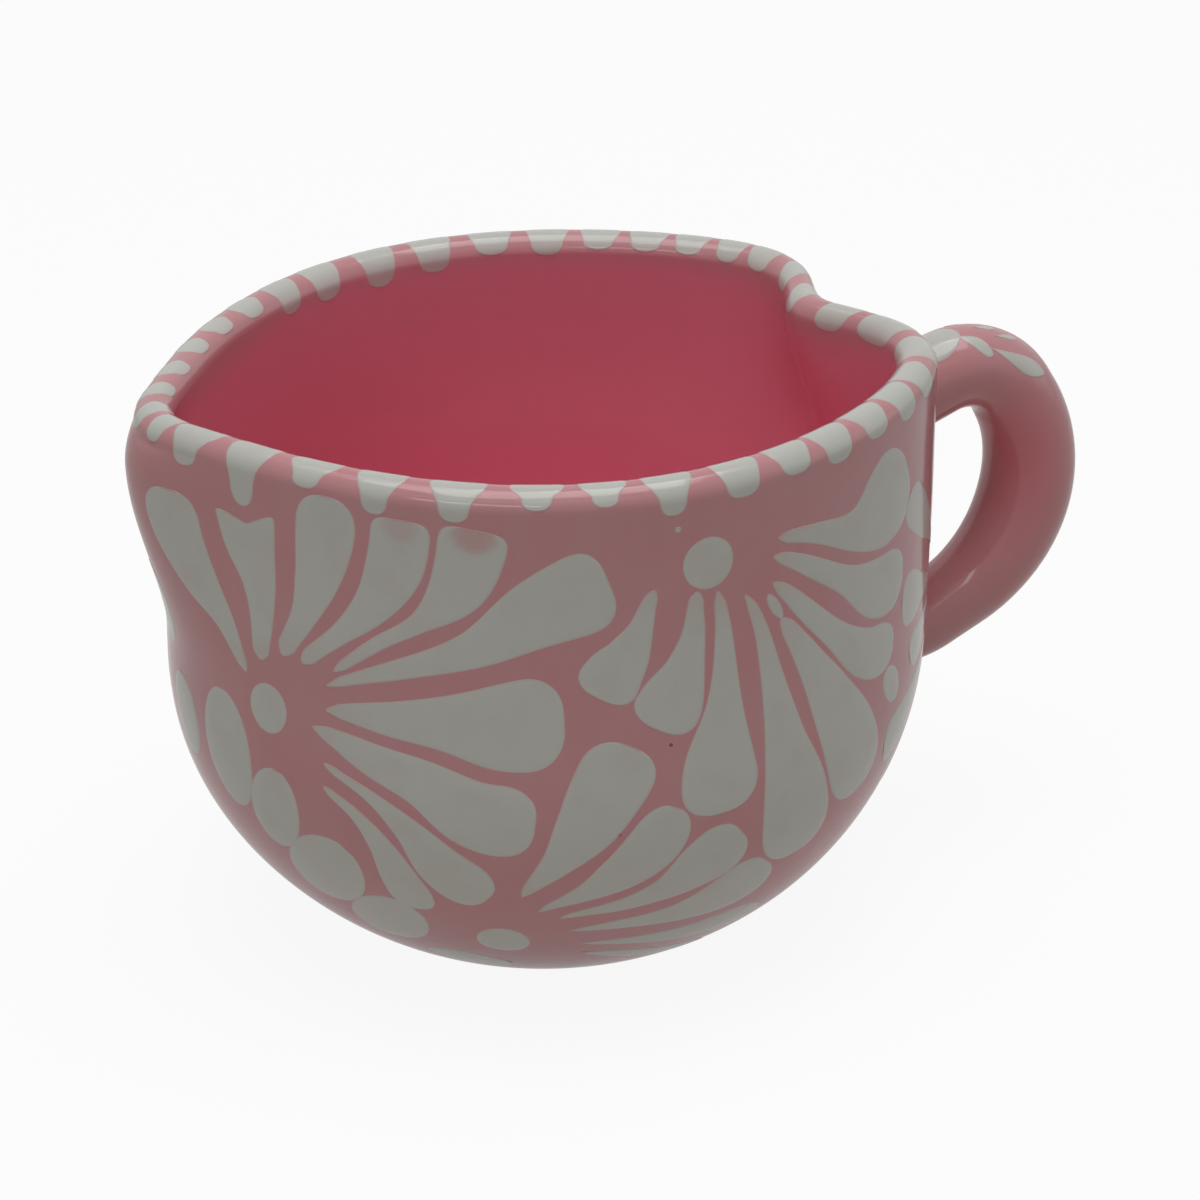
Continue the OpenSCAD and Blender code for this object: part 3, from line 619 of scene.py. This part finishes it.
# The loose drops: eggs of the same slip, pressed down with the full brush where a fan leaves the
# ground empty.
MID_DROPS = [(-7.8, -8.8, -85, 17.2, 9.6), (0.2, -14.8, -100, 13, 8.6), (6.6, -22.8, -130, 14.6, 11.4),
             (13.2, -30.6, -138, 14.2, 9.8), (19.4, -40.7, -5, 10.6, 7), (-18.5, -8.6, -80, 11.5, 8)]
POINT_DROPS = [(-1, -25, -85, 12, 5.5), (-11, -18, -80, 16, 7), (-12, -37, -85, 14, 7),
               (-24, -52, -70, 15, 8), (-8, -56, -80, 14, 8), (-18, -69, -60, 12, 7)]
white("left_drops", [drop(LEFT, MID_M, *row) for row in MID_DROPS])
white("back_drops", [drop(LEFT + BACK, MID_M, *row) for row in MID_DROPS])
white("point_drops", [drop(180, SIDE_LENGTH, *row) for row in POINT_DROPS])


# Two grains of iron in the clay that melted through the slip in the firing, on open ground between the
# fans.
def grain(radius, across, up, dark):
    """Shell of a grain: a dot of that radius and darkness, across and up from the high fan's dot."""
    rings, first, last, cover = eye(HIGH, HIGH_M, radius, across, up)
    return rings, first, last, 0 * cover - dark


grains = loft("iron_grains", [grain(0.26, -5.8, -23.2, 0.7), grain(0.22, -12.8, -34.6, 0.4)], pink_slip)


# The dabs: short strokes of white slip laid across the lip side by side, each with one tail down the
# outside and one down the inside.
LIP_LENGTH = np.pi * LIP_R
TAIL_SQUARE = 7


def on_lip(turn, q, lift):
    """Point on the lip's section, where q runs from the top of the outside over the lip's half round
    and down the inside."""
    roll = np.clip(q / LIP_LENGTH, 0, 1) * np.pi
    z = WALL_TOP - np.maximum(0, np.maximum(-q, q - LIP_LENGTH))
    r = np.where(q > LIP_LENGTH, inner_r(turn, z) + LIP_R, wall_r(turn, z) - LIP_R)
    return at_turn(turn, r + (LIP_R + lift) * np.cos(roll), z + (LIP_R + lift) * np.sin(roll))


def dab(turn, outer, inner, width, outer_slim, inner_slim):
    """Stroke over the lip at a turn, full on the crest, with a tail on either side that ends in a round
    and is slimmer than the crest by its share of the width."""
    start, end = -outer, LIP_LENGTH + inner
    crest = LIP_LENGTH / 2

    def half(t):
        q = start + (end - start) * t - crest
        u = np.abs(np.where(q < 0, q / (start - crest), q / (end - crest))).clip(0, 1)
        slim = np.where(q < 0, outer_slim, inner_slim) * ease(1.5 * u)
        return width / 2 * (1 - slim) * np.sqrt(1 - u ** TAIL_SQUARE)

    def spot(t, side, lift):
        rim = wall_r(turn, WALL_TOP)
        return on_lip(turn - np.degrees(side / rim), start + (end - start) * t, lift)

    return stroke(spot, half, end - start)


# A dab is its turn, its tails outside and inside the lip, and its width: first the front row from the
# point to the cleft, whose tails are slim at the left and full at the right, then the back row.
SLIM_LEFT, SLIM_RIGHT, SLIM_WITHIN, SLIM_BACK = 0.45, 0.25, 0.05, 0.2
LAST_LEFT = -85
FRONT_DABS = [
    (-169.5, 1.3, 0.4, 7), (-159.5, 4.4, 0.4, 7), (-148.5, -0.3, 0.4, 7.4), (-137, 1.4, 0.4, 6.9),
    (-124.5, 1.2, 0.4, 7.7), (-112, -0.7, 0.4, 7.2), (-101.5, -0.8, 0.4, 6.5), (-91, 1.3, 0.4, 6.9),
    (-79, 0.8, 0.4, 6.9), (-68.5, 0, 0.4, 6.9), (-59, 0.9, 0.4, 7), (-49, 0.4, 0.4, 7.2),
    (-39.5, 1, 0.4, 7), (-31, 0.7, 0.4, 7.2), (-21, 0.3, 0.4, 7.6), (-10.8, 0.8, 0.4, 6.8),
    (-2.5, 0.8, 0.4, 4.6)]
BACK_DABS = [
    (8.5, 1, 0, 4.6), (18, 1.2, 0, 5), (27, 0.8, -0.3, 5.4), (33.5, 1.4, -0.5, 5), (41, 0.6, -0.8, 5.6),
    (49, 1, -0.8, 6.2), (58, 1.6, -0.8, 6.4), (68, 0.7, 0, 6.6), (79, 1.2, -0.4, 7), (91, 0.9, 1.2, 7),
    (103, 1.5, 1.8, 7), (116, 0.6, 1.4, 6.8), (126.5, -2.4, 1, 6.2), (137, -2.5, -1.2, 6.2),
    (147, -2.2, -1.8, 6), (156.5, -2, -2, 5.4), (165.5, -1.4, -2, 4.9), (173, -0.7, -1.6, 4.2),
    (179.5, -0.3, -1.2, 3.8), (-175.5, -0.2, -0.8, 3.8)]
front_row = [dab(*row, SLIM_LEFT if row[0] < LAST_LEFT else SLIM_RIGHT, SLIM_WITHIN) for row in FRONT_DABS]
back_row = [dab(*row, SLIM_BACK, SLIM_BACK) for row in BACK_DABS]
white("rim_dabs", front_row + back_row)


# The sprig: short leaves of the same white slip, laid with the tip of the brush along the top of the
# handle on either side of one broad leaf.
def leaf(start, end, turn, swing, bow, width, full=1.6):
    """Stroke along the coil, at angles round it from its outer side, that fills out towards its end; a
    full of 1 is an oval."""
    def spot(t, side, lift):
        s = start + (end - start) * t
        r = coil_r(s)
        angle = 180 + turn + swing * t + bow * 4 * t * (1 - t)
        return on_ring(coil_at(s), coil_way(s), r + lift, angle - np.degrees(side / r))

    return stroke(spot, lambda t: width / 2 * np.sin(np.pi * t ** full) ** 0.6, end - start)


# A leaf is its start and end along the coil, its turn, swing and bow, its width and how it fills out.
LEAVES = [(5, 13.6, 4, 8, 0, 7.4, 1.6), (13, 16.2, 18, 36, 0, 2.8), (15.2, 17.4, 4, 0, 0, 1.3),
          (16.8, 19.4, 24, -8, 0, 1.2), (15.6, 23.2, 42, 2, 12, 2.9, 2),
          (13.2, 16.4, -22, -34, 0, 2.8), (15.8, 23.4, -48, -2, -10, 2.9, 2)]
white("handle_leaves", [leaf(*row) for row in LEAVES])


# The studio: a sheet of grey paper that keeps the mug's shadow, in a dim room. Both are white to the
# camera, and the glaze mirrors the room as a paler one than it is lit by.
PAPER, PAPER_SEEN = "#CFCCC6", "#FFFFFF"
GLOW_SEEN, GLOW_MIRRORED = 0.92, 0.45
ROOM, ROOM_MIRRORED = 0.11, 0.8
LIGHT = (1, 1, 1, 1)
floor_mesh = bpy.data.meshes.new("floor")
floor_mesh.from_pydata([(-3, -3, 0), (3, -3, 0), (3, 3, 0), (-3, 3, 0)], [], [(0, 1, 2, 3)])
floor = bpy.data.objects.new("floor", floor_mesh)
bpy.context.scene.collection.objects.link(floor)


def rays(tree):
    """Whether a ray is the camera's, and whether it is mirrored or let through."""
    path = add(tree, "ShaderNodeLightPath", {}, {})
    mirrored = add(tree, "ShaderNodeMath", {"operation": "MAXIMUM"},
                   {0: path["Is Glossy Ray"], 1: path["Is Transmission Ray"]})
    return path["Is Camera Ray"], mirrored[0]


# Matt grey paper: white where the camera sees it, with the mug's shadow left faintly on it.
paper, tree = new_material("grey_paper")
seen, mirrored = rays(tree)
tone = add(tree, "ShaderNodeMix", {"data_type": "RGBA"}, {0: seen, 6: srgb(PAPER), 7: srgb(PAPER_SEEN)})
some = add(tree, "ShaderNodeMath", {"operation": "MULTIPLY"}, {0: mirrored, 1: GLOW_MIRRORED})
much = add(tree, "ShaderNodeMath", {"operation": "MULTIPLY_ADD"}, {0: seen, 1: GLOW_SEEN, 2: some[0]})
matt = add(tree, "ShaderNodeBsdfDiffuse", {}, {"Color": tone[2]})
glow = add(tree, "ShaderNodeEmission", {}, {"Color": LIGHT, "Strength": 1.0})
both = add(tree, "ShaderNodeMixShader", {}, {0: much[0], 1: matt[0], 2: glow[0]})
add(tree, "ShaderNodeOutputMaterial", {}, {"Surface": both[0]})
floor_mesh.materials.append(paper)

world = bpy.data.worlds.new("studio")
bpy.context.scene.world = world
world.use_nodes = True
tree = world.node_tree
tree.nodes.clear()
seen, mirrored = rays(tree)
level = add(tree, "ShaderNodeMapRange", {}, {0: mirrored, 3: ROOM, 4: ROOM_MIRRORED})
level = add(tree, "ShaderNodeMath", {"operation": "MAXIMUM"}, {0: level[0], 1: seen})
sky = add(tree, "ShaderNodeBackground", {}, {"Color": LIGHT, "Strength": level[0]})
add(tree, "ShaderNodeOutputWorld", {}, {"Surface": sky[0]})


def softbox(name, place, target, width, height, power):
    """Soft rectangular lamp at a place, turned to a target; metres and watts."""
    lamp = bpy.data.lights.new(name, "AREA")
    lamp.shape, lamp.size, lamp.size_y, lamp.energy = "RECTANGLE", width, height, power
    box = bpy.data.objects.new(name, lamp)
    bpy.context.scene.collection.objects.link(box)
    back = unit(np.array(place, float) - np.array(target, float))
    right = unit(np.cross([0.0, 0.001, 1.0], back))
    turn = Matrix(np.stack([right, np.cross(back, right), back], 1).tolist()).to_4x4()
    box.matrix_world = Matrix.Translation(place) @ turn


softbox("top_lamp", (0, -0.03, 1.15), (0, 0, 0.07), 1.0, 0.7, 6.9)
softbox("back_strip", (0.13, 0.33, 1.15), (0, 0, 0.07), 1.2, 0.05, 0.9)
softbox("front_strip", (-0.28, -0.7, 1.0), (0, 0, 0.07), 1.5, 0.03, 0.4)
softbox("front_window", (-0.66, -0.8, 0.67), (0, 0, 0.05), 0.7, 0.12, 1.1)
softbox("right_fill", (1.2, -0.3, 0.4), (0, 0, 0.05), 0.8, 0.8, 0.7)

# The camera stands at the photograph's angle, and is aimed a little to the right of the bowl and above
# its middle, so that the mug lies in the frame as it does there.
AZIMUTH, ELEVATION, AWAY, FOCAL = -22, 26.89, 455.7, 99.47
BOWL_MIDDLE, AIM_RIGHT, AIM_UP = np.array([0, 0, 38]), 7.6, 4.31
az, el = np.radians(AZIMUTH), np.radians(ELEVATION)
back = np.array([np.sin(az) * np.cos(el), -np.cos(az) * np.cos(el), np.sin(el)])
right = np.array([np.cos(az), np.sin(az), 0])
upward = np.cross(back, right)
eye_point = (BOWL_MIDDLE + right * AIM_RIGHT + upward * AIM_UP + back * AWAY) * 0.001
lens = bpy.data.cameras.new("camera")
lens.sensor_width, lens.lens, lens.clip_start = 36, FOCAL, 0.01
camera = bpy.data.objects.new("camera", lens)
facing = Matrix(np.stack([right, upward, back], 1).tolist()).to_4x4()
camera.matrix_world = Matrix.Translation(eye_point.tolist()) @ facing
bpy.context.scene.collection.objects.link(camera)
bpy.context.scene.camera = camera
bpy.context.scene.view_settings.view_transform = "Standard"
